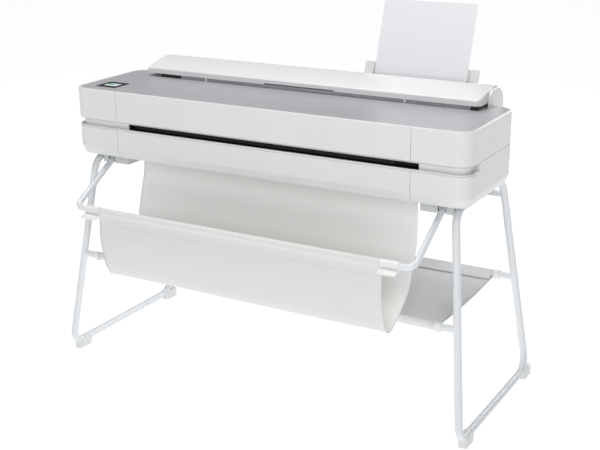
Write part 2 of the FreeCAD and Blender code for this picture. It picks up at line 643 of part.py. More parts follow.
def roll_cover():
    """The cover over the roll, with its barrels, and the pins that it turns on."""
    thick = number("cover_thick")
    left, right = number("cover_left"), number("cover_right")
    bottom = number("cover_bottom")
    corner = number("cover_corner")
    outside = shaped("cover_outside", rounded_brow(
        cover_outline(0, left, right, bottom, corner)))
    inside = shaped("cover_inside", cover_outline(
        thick, left + thick, right - thick, bottom - 30, corner - thick))
    grip = box("cover_grip", ("0 - grip_half", "grip_half"),
               ("cover_front - 5", "cover_front + 12"),
               ("cover_bottom - 5", "cover_bottom + grip_height"))
    slot = box("cover_slot", ("sheet_left - 6", "sheet_left + sheet_width + 6"),
               ("feed_y - 13", "feed_y + 2.5"), ("feed_z - 24", "feed_z + 15"))
    shell = cut("cover_shell", outside, inside, grip, slot)
    parts = [shell]
    takes = []
    pins = []
    for side, word in ((-1, "left"), (1, "right")):
        low, high = sorted((f"{side} * barrel_start", f"{side} * barrel_end"), key=number)
        parts.append(cylinder(f"barrel_{word}", "X", "barrel_radius", low, "hinge_y",
                              "hinge_z", high))
        takes.append(cylinder(f"barrel_bore_{word}", "X", "hinge_pin + hinge_play",
                              low + " - 1", "hinge_y", "hinge_z", high + " + 1"))
        near, far = sorted((f"{side} * (knuckle_start - 1)", f"{side} * barrel_start"),
                           key=number)
        takes.append(box(f"knuckle_room_{word}", (near, far), ("hinge_y - 14", "hinge_y + 8"),
                         ("hinge_z - 12", "hinge_z + 13")))
        start, end = sorted((f"{side} * knuckle_start", f"{side} * barrel_end"), key=number)
        pins.append(cylinder(f"cover_pin_{word}", "X", "hinge_pin", start, "hinge_y",
                             "hinge_z", end))
    node("roll_cover", cut("cover_solid", fuse("cover_joined", *parts), *takes))
    node("roll_cover_pins", group("cover_pins", *pins))


# ---------------------------------------------------------------- sheet feeder

def leaning_box(name, x, out, along):
    """A box on the feeder's leaning plane: out is measured from the plane towards the rear,
    and along is measured up the plane from the slot."""
    piece = document.addObject("Part::Box", name)
    for side, (low, high) in zip(("Length", "Width", "Height"), (x, out, along)):
        piece.setExpression(side, bound(f"({high}) - ({low})"))
    piece.Placement.Rotation = FreeCAD.Rotation(FreeCAD.Vector(1, 0, 0), -1)
    piece.setExpression("Placement.Rotation.Angle", bound("0 - tray_lean"))
    piece.Placement.Rotation.Axis = FreeCAD.Vector(1, 0, 0)
    place(piece, x[0],
          f"feed_y + ({out[0]}) * cos(tray_lean) + ({along[0]}) * sin(tray_lean)",
          f"feed_z - ({out[0]}) * sin(tray_lean) + ({along[0]}) * cos(tray_lean)")
    return piece


def sheet_feeder():
    """The tray that stands on the roll cover, its pull-up extension, two guides, a sheet."""
    half = "extension_width / 2"
    middle = "(tray_left + tray_right) / 2"
    low_x, high_x = f"{middle} - {half}", f"{middle} + {half}"
    pocket_back = "tray_thick + extension_thick + 2 * pocket_gap"
    plate = leaning_box("tray_plate", ("tray_left", "tray_right"), (0, "tray_thick"),
                        ("0 - 10", "tray_height"))
    pocket = leaning_box("tray_pocket", (f"{low_x} - 5", f"{high_x} + 5"),
                         ("tray_thick - 0.5", f"{pocket_back} + 2"), ("0 - 12", "tray_height - 4"))
    hollow = leaning_box("tray_hollow", (f"{low_x} - pocket_gap", f"{high_x} + pocket_gap"),
                         ("tray_thick", pocket_back), ("0 - 20", "tray_height + 5"))
    cover_back = roll_cylinder("tray_seat", "cover_radius", "tray_left - 10",
                               "tray_right + 10")
    tray = fuse("tray_joined", plate, pocket)
    node("sheet_tray", cut("tray_solid", tray, hollow, cover_back))
    node("tray_extension", leaning_box(
        "extension_plate", (low_x, high_x), ("tray_thick + pocket_gap",
                                             "tray_thick + pocket_gap + extension_thick"),
        (5, "extension_height")))
    for side, word, edge in ((-1, "left", "sheet_left - 0.4"),
                             (1, "right", "sheet_left + sheet_width + 0.4")):
        low, high = sorted((edge, f"{edge} + {side} * guide_thick"), key=number)
        fin = leaning_box(f"guide_fin_{word}", (low, high), ("0 - guide_depth", "0 - 0.3"),
                          (5, "guide_height + 5"))
        node(f"sheet_guide_{word}", fin)
    node("paper_sheet", leaning_box(
        "sheet_plate", ("sheet_left", "sheet_left + sheet_width"),
        ("0 - 0.4 - sheet_thick", "0 - 0.4"), ("0 - sheet_below", "sheet_above")))


# ---------------------------------------------------------------- mechanism

def frames():
    """The chassis pan that closes the housing below, and two upright side frames on it."""
    outside = housing("pan_outside", "pan_inset", "pan_bottom", "pan_top")
    inside = housing("pan_inside", "pan_inset + pan_thick", "pan_bottom + pan_thick",
                     "pan_top + 1")
    node("base_chassis", cut("chassis_pan", outside, inside))
    plates = []
    for side, word in ((-1, "left"), (1, "right")):
        low_x, high_x = sorted((f"{side} * frame_x", f"{side} * (frame_x + frame_thick)"),
                               key=number)
        plate = box(f"frame_plate_{word}", (low_x, high_x), ("frame_front", "frame_back"),
                    ("pan_bottom + pan_thick", "panel_low"))
        holes = [cylinder(f"frame_{hole}_{word}", "X", radius, low_x + " - 1", y, z,
                          high_x + " + 1")
                 for hole, radius, y, z in (
                     ("rod_hole", "rod_radius", "rod_y", "rod_z"),
                     ("feed_hole", "axle_radius + 0.05", "feed_roller_y", "feed_roller_z"),
                     ("pinch_hole", "pinch_radius / 2 + 0.05", "feed_roller_y", pinch_z()),
                     ("output_hole", "axle_radius / 2 + 0.05", "output_roller_y",
                      "output_roller_z"))]
        plates.append(cut(f"side_frame_{word}", plate, *holes))
    node("side_frames", group("frame_pair", *plates))


def pinch_z():
    """The height of the pinch rollers' axis, just clear of the feed roller."""
    return "feed_roller_z + feed_roller_radius + pinch_gap + pinch_radius"


def roller(name, radius, axle, y, z, span, axle_left):
    """A roller, span long, with an axle that runs on into both side frames."""
    barrel = cylinder(name + "_barrel", "X", radius, span[0], y, z, span[1])
    shaft = cylinder(name + "_axle", "X", axle, axle_left, y, z, "frame_x + frame_thick")
    return fuse(name + "_solid", barrel, shaft)


def paper_path():
    """Platen, feed roller with its pulley, pinch rollers, output roller and inner guide."""
    plate = box("platen_plate", ("platen_left", "platen_right"),
                ("platen_front", "platen_back"), ("platen_low", "platen_high"))
    ribs = [box(f"platen_groove_{index}", ("platen_left - 1", "platen_right + 1"),
                (f"platen_front + {10 + 14 * index}", f"platen_front + {16 + 14 * index}"),
                ("platen_high - 2", "platen_high + 1")) for index in range(6)]
    legs = [box(f"platen_leg_{index}", (start, f"{start} + 20"),
                ("platen_front + 40", "platen_back - 40"),
                ("pan_bottom + pan_thick", "platen_low"))
            for index, start in enumerate(("platen_left + 60", "platen_right - 80"))]
    node("platen", cut("platen_ribbed", fuse("platen_solid", plate, *legs), *ribs))

    feed = roller("feed", "feed_roller_radius", "axle_radius", "feed_roller_y",
                  "feed_roller_z", ("platen_left", "platen_right"), "feed_pulley_x - 2")
    pulley = cylinder("feed_pulley", "X", "feed_pulley_radius", "feed_pulley_x",
                      "feed_roller_y", "feed_roller_z", "feed_pulley_x + feed_pulley_width")
    node("feed_roller", fuse("feed_roller_solid", feed, pulley))

    rollers = [cylinder(f"pinch_barrel_{index}", "X", "pinch_radius",
                        f"platen_left + {40 + 85 * index}", "feed_roller_y", pinch_z(),
                        f"platen_left + {70 + 85 * index}") for index in range(10)]
    shaft = cylinder("pinch_axle", "X", "pinch_radius / 2", "0 - frame_x - frame_thick",
                     "feed_roller_y", pinch_z(), "frame_x + frame_thick")
    node("pinch_rollers", fuse("pinch_solid", shaft, *rollers))
    node("output_roller", roller(
        "output", "output_roller_radius", "axle_radius / 2", "output_roller_y",
        "output_roller_z", ("slot_left + 12", "platen_right"), "0 - frame_x - frame_thick"))

    node("paper_guide", profile(
        "guide_sheet", "YZ_Plane",
        [("guide_rear", "guide_top"), ("guide_bend", "guide_top"),
         ("guide_bend - 4", "guide_top - 4"), ("guide_foot + 14", "guide_low + 8"),
         ("guide_foot", "guide_low + 2"), ("guide_foot", "guide_low"),
         ("guide_foot + 15", "guide_low + 5.5"), ("guide_bend - 2", "guide_top - 6"),
         ("guide_bend + 1", "guide_top - 2"), ("guide_rear", "guide_top - 2")],
        "0 - frame_x", "2 * frame_x"))


def belt_loop(name, x, y, z, axis, radii):
    """A thin closed belt round two pulleys: x, y and z are pairs of centre coordinates, and
    it is made in the plane that is square to the axis."""
    inner = [radius + number("belt_play") for radius in radii]
    outer = [radius + number("belt_thick") for radius in inner]
    first, second = (vector(x[i], y[i], z[i]) for i in (0, 1))
    way = second - first
    lean = math.asin((inner[0] - inner[1]) / way.Length)
    across = axis.cross(way).normalize()
    along = FreeCAD.Vector(way).normalize()

    def face(sizes):
        def tangent(centre, size, sign):
            return centre + (along * math.sin(lean) + across * sign * math.cos(lean)) * size
        points = [tangent(first, sizes[0], 1), tangent(second, sizes[1], 1),
                  tangent(second, sizes[1], -1), tangent(first, sizes[0], -1)]
        return Part.Face(Part.Wire([
            Part.LineSegment(points[0], points[1]).toShape(),
            Part.Arc(points[1], second + along * sizes[1], points[2]).toShape(),
            Part.LineSegment(points[2], points[3]).toShape(),
            Part.Arc(points[3], first - along * sizes[0], points[0]).toShape()]))

    width = axis * number("belt_height")
    return shaped(name, face(outer).extrude(width).cut(face(inner).extrude(width)))


def carriage_drive():
    """The carriage on its rod, with the belt, motor and pulleys that pull it along."""
    node("carriage_rod", cylinder("rod_bar", "X", "rod_radius", "0 - frame_x - frame_thick",
                                  "rod_y", "rod_z", "frame_x + frame_thick"))
    low_x, high_x = "carriage_x - carriage_width / 2", "carriage_x + carriage_width / 2"
    case = block("carriage_case", low_x, high_x, "carriage_front", "carriage_back", "6",
                 "carriage_low", "carriage_high")
    bore = cylinder("carriage_bore", "X", "rod_radius + rod_play", low_x + " - 1", "rod_y",
                    "rod_z", high_x + " + 1")
    recess = box("carriage_recess", (low_x + " + 8", high_x + " - 8"),
                 ("carriage_front + 8", "rod_y - 14"), ("carriage_high - 12",
                                                        "carriage_high + 1"))
    node("carriage", cut("carriage_solid", case, bore, recess))

    pulley_z = ("belt_low - 0.5", "belt_low + belt_height + 0.5")
    for name, x in (("motor_pulley", "motor_x"), ("idler_pulley", "idler_x")):
        node(name, cylinder(name + "_wheel", "Z", "pulley_radius", pulley_z[0], x, "belt_y",
                            pulley_z[1]))
    motor = cylinder("motor_can", "Z", "motor_radius", "belt_low - 1 - motor_length",
                     "motor_x", "belt_y", "belt_low - 1")
    flange = box("motor_flange", ("0 - frame_x", "motor_x"), ("belt_y - 9", "belt_y + 9"),
                 ("belt_low - 14", "belt_low - 8"))
    node("carriage_motor", fuse("motor_solid", motor, flange))
    wheel = number("pulley_radius")
    belt = belt_loop("belt_shape", ("motor_x", "idler_x"), ("belt_y", "belt_y"),
                     ("belt_low", "belt_low"), FreeCAD.Vector(0, 0, 1), (wheel, wheel))
    node("carriage_belt", belt)


def feed_drive():
    """The motor, small pulley and belt that turn the feed roller."""
    motor = cylinder("feed_motor_can", "X", "feed_motor_radius", "feed_pulley_x - 52",
                     "feed_motor_y", "feed_motor_z", "feed_pulley_x - 4")
    foot = box("feed_motor_foot", ("feed_pulley_x - 45", "feed_pulley_x - 15"),
               ("feed_motor_y - 12", "feed_motor_y + 12"),
               ("pan_bottom + pan_thick", "feed_motor_z - 14"))
    node("feed_motor", fuse("feed_motor_solid", motor, foot))
    node("feed_motor_pulley", cylinder(
        "feed_motor_wheel", "X", "motor_pulley_radius", "feed_pulley_x - 3.5", "feed_motor_y",
        "feed_motor_z", "feed_pulley_x + feed_pulley_width"))
    node("feed_belt", belt_loop(
        "feed_belt_shape", ("feed_pulley_x + 1", "feed_pulley_x + 1"),
        ("feed_roller_y", "feed_motor_y"), ("feed_roller_z", "feed_motor_z"),
        FreeCAD.Vector(1, 0, 0), (number("feed_pulley_radius"), number("motor_pulley_radius"))))


def fixed_units():
    """Service station, ink tray and cartridges, electronics, connectors and power key."""
    station = block("station_case", "carriage_x - station_half", "carriage_x + station_half",
                    "station_front", "station_back", "4", "pan_bottom + pan_thick",
                    "station_top")
    pads = [box(f"station_pad_{index}", (f"carriage_x - {36 - 20 * index}",
                                         f"carriage_x - {24 - 20 * index}"),
                ("station_front + 14", "station_back - 14"),
                ("station_top - 1", "station_top + 4")) for index in range(4)]
    node("service_station", fuse("station_solid", station, *pads))

    low = "ink_floor_top - ink_floor_thick"
    floor = box("ink_floor", ("frame_x + frame_thick", "pivot_x + 14"),
                ("ink_front - 6", "pivot_y - 28"), (low, "ink_floor_top"))
    perch = box("pivot_perch", ("pivot_x - 20", "pivot_x + 3"), ("pivot_y - 29", "pivot_y + 3"),
                (low, "ink_floor_top"))
    pin = cylinder("door_pin", "Z", "pivot_pin", low, "pivot_x", "pivot_y", "pivot_high + 3")
    node("ink_tray", fuse("ink_tray_solid", floor, perch, pin))
    cartridges = []
    for index in range(4):
        low = f"ink_left + {index} * (ink_width + ink_gap)"
        cartridges.append(block(f"cartridge_{index}", low, f"{low} + ink_width", "ink_front",
                                "ink_front + ink_depth", "2.5", "ink_low", "ink_high"))
    node("ink_cartridges", group("cartridge_set", *cartridges))

    supply = box("supply_case", ("supply_left", "supply_right"),
                 ("supply_front", "supply_back"), ("pan_bottom + pan_thick", "supply_top"))
    board = box("board_plate", ("board_left", "board_right"), ("supply_front", "supply_back"),
                ("board_z", "board_z + board_thick"))
    chips = [box(f"board_chip_{index}",
                 (f"board_left + {20 + 60 * index}",
                  f"board_left + {20 + 60 * index} + chip_side"),
                 ("supply_front + 30", "supply_front + 30 + chip_side"),
                 ("board_z + 1", "board_z + 6")) for index in range(3)]
    feet = [cylinder(f"board_post_{index}", "Z", "3", "pan_bottom + pan_thick",
                     f"board_left + {10 + 190 * index}", "supply_back - 15", "board_z + 1")
            for index in range(2)]
    node("electronics", group("electronics_set", supply,
                              fuse("board_solid", board, *chips, *feet)))

    inlet = block("inlet_case", "inlet_x - inlet_half_x", "inlet_x + inlet_half_x",
                  "body_depth - 26", "body_depth + 1", "2", "inlet_z - plug_half_z",
                  "inlet_z + plug_half_z")
    socket = box("inlet_socket", ("inlet_x - 12", "inlet_x + 12"),
                 ("body_depth - 17", "body_depth + 2"), ("inlet_z - 8", "inlet_z + 8"))
    blades = [box(f"inlet_blade_{index}", (f"inlet_x + {7 * (index - 1) - 1}",
                                           f"inlet_x + {7 * (index - 1) + 1}"),
                  ("body_depth - 18", "body_depth - 5"),
                  (f"inlet_z - {4 - 3 * (index % 2)}", f"inlet_z + {2 + 2 * (index % 2)}"))
              for index in range(3)]
    node("power_inlet", fuse("inlet_solid", cut("inlet_hollow", inlet, socket), *blades))
    case = block("ports_case", "ports_x - ports_half_x", "ports_x + ports_half_x",
                 "body_depth - 24", "body_depth + 1", "2", "ports_z - plug_half_z",
                 "ports_z + plug_half_z")
    network = box("network_port", ("ports_x - 19", "ports_x - 5"),
                  ("body_depth - 16", "body_depth + 2"), ("ports_z - 7", "ports_z + 6"))
    serial = box("serial_port", ("ports_x + 5", "ports_x + 18"),
                 ("body_depth - 16", "body_depth + 2"), ("ports_z - 4", "ports_z + 3"))
    node("data_ports", cut("ports_solid", case, network, serial))
    node("power_key", cylinder("key_button", "Y", "key_radius", "body_depth - 9", "key_x",
                               "key_z", "body_depth + 1.8"))


# ---------------------------------------------------------------- stand

def leg_at(height, top, low):
    """Where a leg is along Y, or how far out along X, at a height on its straight line."""
    share = f"(({height}) - rail_low_z) / (rail_top_z - rail_low_z)"
    return f"({low}) + (({top}) - ({low})) * {share}"


def stand():
    """Two closed loops of tube with feet, the rear cross tube and the two shelf bars."""
    corners = [vector("rail_top_x", "leg_rear_top", "rail_top_z"),
               vector("rail_top_x", "leg_front_top", "rail_top_z"),
               vector("rail_low_x", "leg_front_low", "rail_low_z"),
               vector("rail_low_x", "leg_rear_low", "rail_low_z")]
    bends = [number(size) for size in ("bend_top", "bend_top", "bend_low_front",
                                       "bend_low_rear")]
    loop = shaped("loop_shape", tube_along(rounded_path(corners, bends, closed=True),
                                           number("tube_radius")))
    node("stand_loop_right", loop)
    twin = mirrored("loop_twin", loop)
    node("stand_loop_left", twin)

    feet = []
    for word, start in (("front", "leg_front_low + foot_inset"),
                        ("rear", "leg_rear_low - foot_length + 20")):
        shell = block(f"foot_block_{word}", "rail_low_x - foot_width / 2",
                      "rail_low_x + foot_width / 2", start, f"{start} + foot_length", "9", "0",
                      "foot_height", round_top=2.5)
        for side, twin_piece in (("right", None), ("left", twin)):
            body = shell if side == "right" else mirrored(f"foot_{word}_twin", shell)
            tool = loop if side == "right" else twin_piece
            feet.append(cut(f"foot_{word}_{side}", body, tool))
    node("feet", group("foot_set", *feet))

    def crossing(name, radius, y, z):
        bar = cylinder(name + "_bar", "X", radius, "0 - rail_low_x", y, z, "rail_low_x")
        reach = leg_at(z, "rail_top_x", "rail_low_x")
        span = box(name + "_span", (f"0 - ({reach})", reach),
                   (f"{y} - 40", f"{y} + 40"), (f"{z} - 40", f"{z} + 40"))
        return cut(name, common(name + "_inside", bar, span), loop, twin)

    rear_top = leg_at("cross_z", "leg_rear_top", "leg_rear_low")
    node("rear_cross_tube", crossing("cross_tube", "cross_radius", rear_top, "cross_z"))
    front_bar_y = leg_at("bar_z", "leg_front_top", "leg_front_low")
    rear_bar_y = leg_at("bar_z", "leg_rear_top", "leg_rear_low")
    bars = [crossing("shelf_bar_front", "bar_radius", front_bar_y, "bar_z"),
            crossing("shelf_bar_rear", "bar_radius", rear_bar_y, "bar_z")]
    node("shelf_bars", group("shelf_bar_pair", *bars))

    collars = []
    screws = []
    for word, y in (("front", front_bar_y), ("rear", rear_bar_y)):
        for side in (-1, 1):
            name = f"{word}_{'right' if side > 0 else 'left'}"
            low, high = sorted((f"{side} * collar_x", f"{side} * (collar_x + collar_length)"),
                               key=number)
            ring = cylinder(f"collar_ring_{name}", "X", "collar_radius", low, y, "bar_z", high)
            hole = cylinder(f"collar_hole_{name}", "X", "bar_radius", low + " - 1", y,
                            "bar_z", high + " + 1")
            collars.append(cut(f"collar_{name}", ring, hole))
            for spot in (5, 14):
                screws.append(cylinder(
                    f"screw_{name}_{spot}", "Z", "screw_radius", "bar_z - collar_radius - 3",
                    f"{side} * (collar_x + {spot})", y, "bar_z - collar_radius + 0.02"))
    node("shelf_collars", group("collar_set", *collars))
    trimmed = [cut(screw.Name + "_head", screw, collar)
               for screw, collar in zip(screws, [c for c in collars for _ in range(2)])]
    node("collar_screws", group("screw_set", *trimmed))

    slings = []
    rings = []
    for word, y in (("front", front_bar_y), ("rear", rear_bar_y)):
        sleeve = cylinder(f"sleeve_{word}", "X", "sleeve_radius", "0 - shelf_half", y, "bar_z",
                          "shelf_half")
        slings.append(sleeve)
        rings.append(cylinder(f"sleeve_hole_{word}", "X", "bar_radius", "0 - shelf_half - 1",
                              y, "bar_z", "shelf_half + 1"))
    cloth = box("sling_cloth", ("0 - shelf_half", "shelf_half"), (front_bar_y, rear_bar_y),
                ("bar_z - sleeve_radius", "bar_z - sleeve_radius + shelf_thick"))
    node("shelf_fabric", cut("sling_solid", fuse("sling_joined", cloth, *slings), *rings))


# ---------------------------------------------------------------- basket

# How the cloth hangs, as (y, z): from under the housing down to the basket's bottom, and from
# there up to the bar in front.
BACK_CLOTH = ((104, 668), (101, 604), (92, 561), (81, 518), (71, 489), (57, 448), (38, 400),
              (21, 377), (0, 361), (-18, 347))
FRONT_CLOTH = ((-23, 343), (-36, 334), (-57, 321), (-79, 315), (-97, 328), (-109, 351),
               (-118, 381), (-125, 413), (-130, 443), (-131, 466), (-129, 488), (-128, 527))


def basket():
    """Brackets under the housing, the swinging frame, its fabric and the two end clips."""
    brackets = []
    for side, word in ((-1, "left"), (1, "right")):
        low, high = sorted((f"{side} * bracket_inner", f"{side} * bracket_outer"), key=number)
        case = block(f"bracket_case_{word}", low, high, "bracket_front", "bracket_back",
                     "bracket_corner", "bracket_low", "bracket_high")
        slot = box(f"bracket_slot_{word}", (f"{side} * arm_x - bracket_slot",
                                            f"{side} * arm_x + bracket_slot"),
                   ("bracket_front - 1", "arm_y + slot_depth"),
                   ("bracket_low - 1", "lower_bottom"))
        bore = cylinder(f"bracket_bore_{word}", "X", "pin_radius + pin_play",
                        f"{side} * arm_x - bracket_slot - pin_reach - 4", "arm_y", "arm_z",
                        f"{side} * arm_x + bracket_slot + pin_reach + 4")
        brackets.append(cut(f"bracket_{word}", case, slot, bore))
    node("arm_brackets", group("bracket_pair", *brackets))

    corners = [vector("arm_x", "arm_y", "arm_z"),
               vector("bar_half", "basket_bar_y", "basket_bar_z"),
               vector("0 - bar_half", "basket_bar_y", "basket_bar_z"),
               vector("0 - arm_x", "arm_y", "arm_z")]
    bend = number("arm_bend")
    hoop = shaped("hoop_shape", tube_along(rounded_path(corners, [bend, bend]),
                                           number("arm_radius")))
    parts = [hoop]
    for side, word in ((-1, "left"), (1, "right")):
        parts.append(cylinder(f"arm_eye_{word}", "X", "eye_radius",
                              f"{side} * arm_x - eye_radius", "arm_y", "arm_z",
                              f"{side} * arm_x + eye_radius"))
        parts.append(cylinder(f"arm_pin_{word}", "X", "pin_radius",
                              f"{side} * arm_x - bracket_slot - pin_reach", "arm_y", "arm_z",
                              f"{side} * arm_x + bracket_slot + pin_reach"))
    frame = fuse("basket_hoop", *parts)
    node("basket_frame", frame)

    node("basket_back", fabric("back_cloth", BACK_CLOTH, "fabric_half"))
    hem = cylinder("front_hem", "X", "arm_radius + fabric_thick", "0 - clip_inner + 1",
                   "basket_bar_y", "basket_bar_z", "clip_inner - 1")
    hem_bore = cylinder("front_hem_bore", "X", "arm_radius", "0 - clip_inner",
                        "basket_bar_y", "basket_bar_z", "clip_inner")
    front = fuse("front_joined", fabric("front_cloth", FRONT_CLOTH, "clip_inner - 1"), hem)
    node("basket_front", cut("front_solid", front, hem_bore))

    clips = []
    for side, word in ((-1, "left"), (1, "right")):
        low, high = sorted((f"{side} * clip_inner", f"{side} * clip_outer"), key=number)
        ring = cylinder(f"clip_ring_{word}", "X", "arm_radius + clip_thick", low,
                        "basket_bar_y", "basket_bar_z", high)
        lip = profile(f"clip_lip_{word}", "YZ_Plane",
                      [("basket_bar_y + clip_thick", "basket_bar_z - lip_high"),
                       ("basket_bar_y - lip_root", "basket_bar_z - lip_high"),
                       ("basket_bar_y - lip_reach + 2", "basket_bar_z - lip_edge + 2.5"),
                       ("basket_bar_y - lip_reach", "basket_bar_z - lip_edge"),
                       ("basket_bar_y - lip_reach + 2", "basket_bar_z - lip_low"),
                       ("basket_bar_y + 1", "basket_bar_z - lip_under")],
                      low, "clip_outer - clip_inner")
        bore = cylinder(f"clip_bore_{word}", "X", "arm_radius", low + " - 1",
                        "basket_bar_y", "basket_bar_z", high + " + 1")
        clips.append(cut(f"clip_{word}", fuse(f"clip_solid_{word}", ring, lip), bore))
    node("basket_clips", group("clip_pair", *clips))


def fabric(name, places, half):
    """A strip of cloth that follows points in the YZ plane: the points and, behind them, the
    same points moved along each one's own normal."""
    thick = number("fabric_thick")
    behind = []
    for index, (y, z) in enumerate(places):
        before = places[max(index - 1, 0)]
        after = places[min(index + 1, len(places) - 1)]
        along = math.hypot(after[0] - before[0], after[1] - before[1])
        behind.append((y + thick * (after[1] - before[1]) / along,
                       z - thick * (after[0] - before[0]) / along))
    outline = [(f"0 + {y:.3f}" if y >= 0 else f"0 - {-y:.3f}", f"{z:.3f}")
               for y, z in (*places, *reversed(behind))]
    return profile(name, "YZ_Plane", outline, f"0 - ({half})", f"2 * ({half})")


# ---------------------------------------------------------------- build and write

upper_shell()
lower_shell()
groove_pieces()
top_pieces()
roll_bay()
roll_cover()
sheet_feeder()
frames()
paper_path()
carriage_drive()
feed_drive()
fixed_units()
stand()
basket()
document.recompute()

for item in document.Objects:
    if "Invalid" in item.State or "Error" in item.State:
        raise ValueError(f"{item.Name} failed: {item.State}")
for piece in nodes:
    if piece.Shape.isNull() or not piece.Shape.isValid() or not piece.Shape.Solids:
        raise ValueError(f"{piece.Label} has no valid shape")

os.makedirs("parts", exist_ok=True)
for piece in nodes:
    piece.Shape.exportStep(f"parts/{piece.Label}.step")
print(len(nodes), "nodes written")
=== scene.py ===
"""Looks of a large format plotter on a tubular stand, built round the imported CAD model.

Metres, in the CAD model's frame: +X right, +Y to the rear, +Z up from the floor. Cloth and
display are placed by the CAD nodes' boxes. Small fittings are placed in millimetres from the
front face of the housing.
"""
import json
import math

import bpy
from mathutils import Matrix, Vector, noise


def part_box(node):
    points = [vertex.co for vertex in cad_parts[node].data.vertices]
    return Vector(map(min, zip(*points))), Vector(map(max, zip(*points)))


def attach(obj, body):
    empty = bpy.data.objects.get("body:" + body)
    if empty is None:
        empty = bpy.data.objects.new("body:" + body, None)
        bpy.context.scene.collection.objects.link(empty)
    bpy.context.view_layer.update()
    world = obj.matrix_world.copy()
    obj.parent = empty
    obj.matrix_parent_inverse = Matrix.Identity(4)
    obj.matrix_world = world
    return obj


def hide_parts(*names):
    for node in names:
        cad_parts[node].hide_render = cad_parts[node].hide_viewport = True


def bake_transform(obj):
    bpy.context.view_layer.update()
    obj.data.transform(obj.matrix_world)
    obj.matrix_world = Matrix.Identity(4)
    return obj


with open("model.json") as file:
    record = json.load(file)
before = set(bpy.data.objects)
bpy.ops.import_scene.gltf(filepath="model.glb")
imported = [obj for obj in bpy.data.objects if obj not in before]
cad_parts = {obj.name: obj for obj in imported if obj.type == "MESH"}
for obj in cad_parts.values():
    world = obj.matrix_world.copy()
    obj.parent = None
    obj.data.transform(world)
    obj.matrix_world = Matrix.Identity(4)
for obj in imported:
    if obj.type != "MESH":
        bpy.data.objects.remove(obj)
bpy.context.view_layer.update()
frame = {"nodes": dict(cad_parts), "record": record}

MM = 0.001
BAR_RADIUS = 9 * MM         # of the basket's tube
HEM_ABOVE_BAR = 11 * MM     # from the tube's centre line to the top of the cloth round it
SLEEVE_PLAY = 1.2 * MM      # from a bar to the middle of the cloth that is sewn round it
CLOTH = 1.1 * MM            # thickness of both cloths
BODY_CORNER = 46 * MM       # radius of the housing's corners


# ---------------------------------------------------------------- materials

def new_material(name, colour, roughness, metallic=0.0, **sockets):
    """A material with a Principled shader, and a few tools to build its nodes with."""
    material = bpy.data.materials.new(name)
    material.use_nodes = True
    shader = material.node_tree.nodes["Principled BSDF"]
    shader.inputs["Base Color"].default_value = (*colour, 1)
    shader.inputs["Roughness"].default_value = roughness
    shader.inputs["Metallic"].default_value = metallic
    for socket, value in sockets.items():
        shader.inputs[socket.replace("_", " ")].default_value = value
    return material, shader


def add(material, kind, settings=None, **inputs):
    """A node of a kind; inputs are values, or other nodes' outputs to link from."""
    made = material.node_tree.nodes.new("ShaderNode" + kind)
    for setting, value in (settings or {}).items():
        setattr(made, setting, value)
    for socket, value in inputs.items():
        key = int(socket[1:]) if socket[0] == "_" else socket.replace("_", " ")
        if isinstance(value, bpy.types.NodeSocket):
            material.node_tree.links.new(value, made.inputs[key])
        else:
            made.inputs[key].default_value = value
    return made


def place_of(material, stretch=(1, 1, 1)):
    """The point on the object, in metres, stretched along its axes."""
    spot = add(material, "TexCoord").outputs["Object"]
    return add(material, "Mapping", Vector=spot, Scale=stretch).outputs["Vector"]


def noise_at(material, place, scale, detail=3.0, roughness=0.5):
    """Smooth noise from 0 to 1."""
    return add(material, "TexNoise", Vector=place, Scale=scale, Detail=detail,
               Roughness=roughness).outputs["Fac"]


def span(material, value, low, high):
    """Noise, which is mostly from 0.25 to 0.75, spread between two values."""
    return add(material, "MapRange", Value=value, From_Min=0.25, From_Max=0.75, To_Min=low,
               To_Max=high).outputs["Result"]


def between(material, share, first, second):
    """A colour between two."""
    mix = add(material, "Mix", {"data_type": "RGBA"}, _0=share)
    for slot, colour in ((6, first), (7, second)):
        mix.inputs[slot].default_value = (*colour, 1)
    return mix.outputs[2]


def shade(colour, factor):
    """A colour made darker or lighter."""
    return tuple(min(channel * factor, 1.0) for channel in colour)


def link(material, value, shader, socket):
    """Ties an output to one of the shader's sockets."""
    material.node_tree.links.new(value, shader.inputs[socket])


def roughen(material, shader, height, depth, strength=1.0):
    """Bumps the surface by a height from 0 to 1, depth metres deep."""
    bump = add(material, "Bump", Height=height, Distance=depth, Strength=strength)
    link(material, bump.outputs["Normal"], shader, "Normal")


def moulded(name, colour, roughness, grain=0.0006, depth=0.00002, mottle=0.015, **sockets):
    """Moulded plastic: a fine spark-eroded grain, and slow drifts of tone and gloss. Polished
    plastic has no grain."""
    material, shader = new_material(name, colour, roughness, **sockets)
    place = place_of(material)
    drift = noise_at(material, place, 9.0)
    link(material, between(material, span(material, drift, 0, 1), shade(colour, 1 - mottle),
                           shade(colour, 1 + mottle)), shader, "Base Color")
    if grain:
        handled = noise_at(material, place, 35.0, 4.0)
        link(material, span(material, handled, roughness - 0.05, roughness + 0.05), shader,
             "Roughness")
        roughen(material, shader, noise_at(material, place, 1 / grain, 1.0), depth)
    return material


def powder_coat(name, colour):
    """Powder-coated tube: a slight orange peel under a soft gloss."""
    material, shader = new_material(name, colour, 0.3, Coat_Weight=0.25, Coat_Roughness=0.2)
    place = place_of(material)
    drift = noise_at(material, place, 6.0)
    link(material, between(material, span(material, drift, 0, 1), shade(colour, 0.985),
                           shade(colour, 1.015)), shader, "Base Color")
    roughen(material, shader, noise_at(material, place, 450.0, 2.0), 0.000006)
    return material


